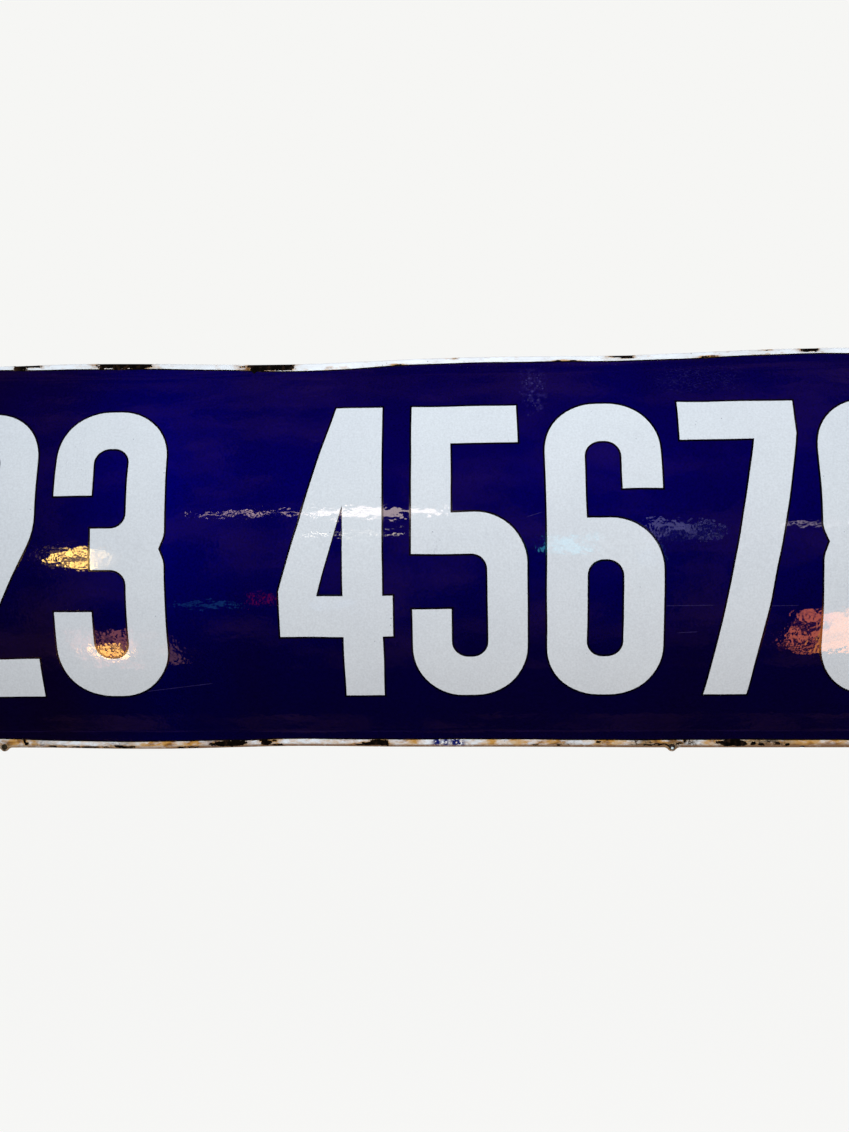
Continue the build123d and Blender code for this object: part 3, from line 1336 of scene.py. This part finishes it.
def dark_cloth():
    """A half dome in front of the sign, seen by reflections alone."""
    mesh = bpy.data.meshes.new("dark_cloth")
    shape = bmesh.new()
    bmesh.ops.create_uvsphere(shape, u_segments=48, v_segments=24, radius=cloth_radius)
    behind = [vert for vert in shape.verts if vert.co.y > cloth_edge_y]
    bmesh.ops.delete(shape, geom=behind, context="VERTS")
    shape.to_mesh(mesh)
    shape.free()
    material, tree = room_material("dark_cloth")
    place = wire(tree, "ShaderNodeTexCoord", out="Object")
    haze = remap(cloud(mapped(place, (1.6, 1.6, 0.9)), 1.3, 5.0, 0.65), 0.46, 0.72)
    colour = blend(haze, (0.002, 0.001, 0.003), (0.170, 0.070, 0.105))
    glint_only(room_piece("dark_cloth", mesh, material, wire(tree, "ShaderNodeEmission", {0: colour})))


dark_cloth()


# %% Lamps
def lamp(name, place, target, size, power, colour):
    """A soft rectangular lamp that looks at the target and leaves no glint."""
    data = bpy.data.lights.new(name, "AREA")
    data.shape = "RECTANGLE"
    data.size, data.size_y = size
    data.energy = power
    data.color = colour
    piece = placed(name, data)
    piece.location = place
    piece.rotation_euler = (Vector(target) - Vector(place)).to_track_quat("-Z", "Y").to_euler()
    piece.visible_glossy = False
    print(name, "gives", power, "watts")


lamp("soft_box", (0.08, -1.45, 0.95), (0.08, 0, 0), (1.0, 0.7), 21, (0.90, 0.96, 1.0))
lamp("warm_bounce", (0.45, -1.2, -0.95), (0.3, 0, -0.1), (0.9, 0.5), 1.5, (1.0, 0.60, 0.36))

# %% Small bright cards that glint in the gloss
# A card is its ends across, its ends upright, its distance, its colour and its glow. Where its light is
# broken up, how finely comes next, and then how much of it is dark.
cards = {
    "strip_card": ((-0.60, -0.06), (0.620, 0.740), 2.5, (1.0, 0.79, 0.71), 8.6),
    "strip_tail_card": ((-1.10, -0.60), (0.670, 0.710), 2.5, (1.0, 0.70, 0.66), 9.5, 18, 0.46),
    "line_card": ((-0.66, -0.20), (0.332, 0.350), 2.5, (1.0, 0.86, 0.70), 14.0, 20, 0.46),
    "streak_card": ((1.30, 1.70), (0.400, 0.450), 2.5, (1.0, 0.80, 0.85), 5.0, 12, 0.46),
    "yellow_card": ((-1.71, -1.525), (-0.10, 0.15), 2.5, (1.0, 0.60, 0.14), 54.0, 27, 0.50),
    "yellow_tail_card": ((-1.525, -1.46), (-0.07, 0.13), 2.5, (1.0, 0.72, 0.40), 15.0, 30, 0.48),
    "ember_card": ((-1.12, -0.95), (-1.05, -0.64), 1.3, (1.0, 0.32, 0.26), 3.8, 24, 0.44),
    "amber_card": ((-1.08, -0.98), (-0.93, -0.79), 1.28, (1.0, 0.48, 0.12), 33.0, 38, 0.43),
    "rose_card": ((-0.90, -0.82), (-1.00, -0.68), 1.3, (1.0, 0.42, 0.38), 1.7, 24, 0.46),
    "cyan_card": ((0.38, 0.60), (0.05, 0.30), 2.5, (0.10, 0.75, 1.0), 5.0, 18, 0.46),
    "lilac_card": ((0.80, 1.08), (0.20, 0.50), 2.5, (0.50, 0.47, 1.0), 2.7, 14, 0.46),
    "blue_card": ((0.76, 0.84), (-0.16, 0.14), 2.5, (0.25, 0.50, 1.0), 1.4, 14, 0.46),
    "red_card": ((-0.86, -0.76), (-0.72, -0.54), 2.5, (1.0, 0.01, 0.02), 1.4, 16, 0.46),
    "teal_card": ((-1.20, -0.92), (-0.75, -0.70), 2.5, (0.05, 0.32, 0.80), 1.6, 10, 0.46),
    "pale_card": ((-0.62, -0.42), (-0.82, -0.66), 2.5, (0.35, 0.50, 0.85), 1.7, 16, 0.46),
    "salmon_edge_card": ((0.965, 1.060), (-0.90, -0.50), 1.3, (1.0, 0.22, 0.09), 8.8, 17, 0.45),
    "salmon_card": ((1.060, 1.55), (-0.90, -0.50), 1.3, (1.0, 0.31, 0.05), 10.5, 17, 0.34),
    "black_board": ((-1.20, 1.20), (-0.42, -0.25), 0.15, (0.0, 0.0, 0.0), 0.0),
}
dim_glow = 0.03
soft_change = 0.09


def card(name, across, upright_ends, distance, colour, glow, fineness=None, dark_share=None):
    """A glowing card that only reflections see."""
    corners = [(x, -distance, z) for z in upright_ends for x in across]
    material, tree = room_material(name)
    light = glow
    if fineness:
        place = wire(tree, "ShaderNodeTexCoord", out="Object")
        bits = cloud(mapped(place, (1, 1, 0.4)), fineness, 2.0)
        light = remap(bits, dark_share, dark_share + soft_change, dim_glow * glow, glow)
    surface = wire(tree, "ShaderNodeEmission", {0: (*colour, 1), 1: light})
    glint_only(room_piece(name, flat_mesh(name, corners, [(0, 2, 3, 1)]), material, surface))


for card_name, values in cards.items():
    card(card_name, *values)

# %% [markdown]
# The camera.
# The photograph was taken by hand, close to the sign, so the long edges run slightly downhill and spread.
# The camera has the same place and small turns, and a lens for the photograph's own angle of view.

# %% Camera
camera_place = Vector((0.0357, -1.0689, -0.0295))
yaw = radians(-2.546)
pitch = radians(0.644)
roll = radians(-0.532)
focal_pixels = 851.0
image_height = 1132.0

view_axis = Vector((sin(yaw) * cos(pitch), cos(yaw) * cos(pitch), sin(pitch)))
level = Vector((cos(yaw), -sin(yaw), 0))
upright = level.cross(view_axis)
right = level * cos(roll) + upright * sin(roll)
up = upright * cos(roll) - level * sin(roll)
camera_data = bpy.data.cameras.new("camera")
camera_data.sensor_width = 36.0
camera_data.lens = camera_data.sensor_width * focal_pixels / image_height
camera = placed("camera", camera_data)
camera.matrix_world = Matrix((right, up, -view_axis)).transposed().to_4x4()
camera.location = camera_place
scene.camera = camera
scene.view_settings.view_transform = "Standard"
print("camera", round(degrees(atan2(view_axis.z, view_axis.y)), 2), "degrees up")
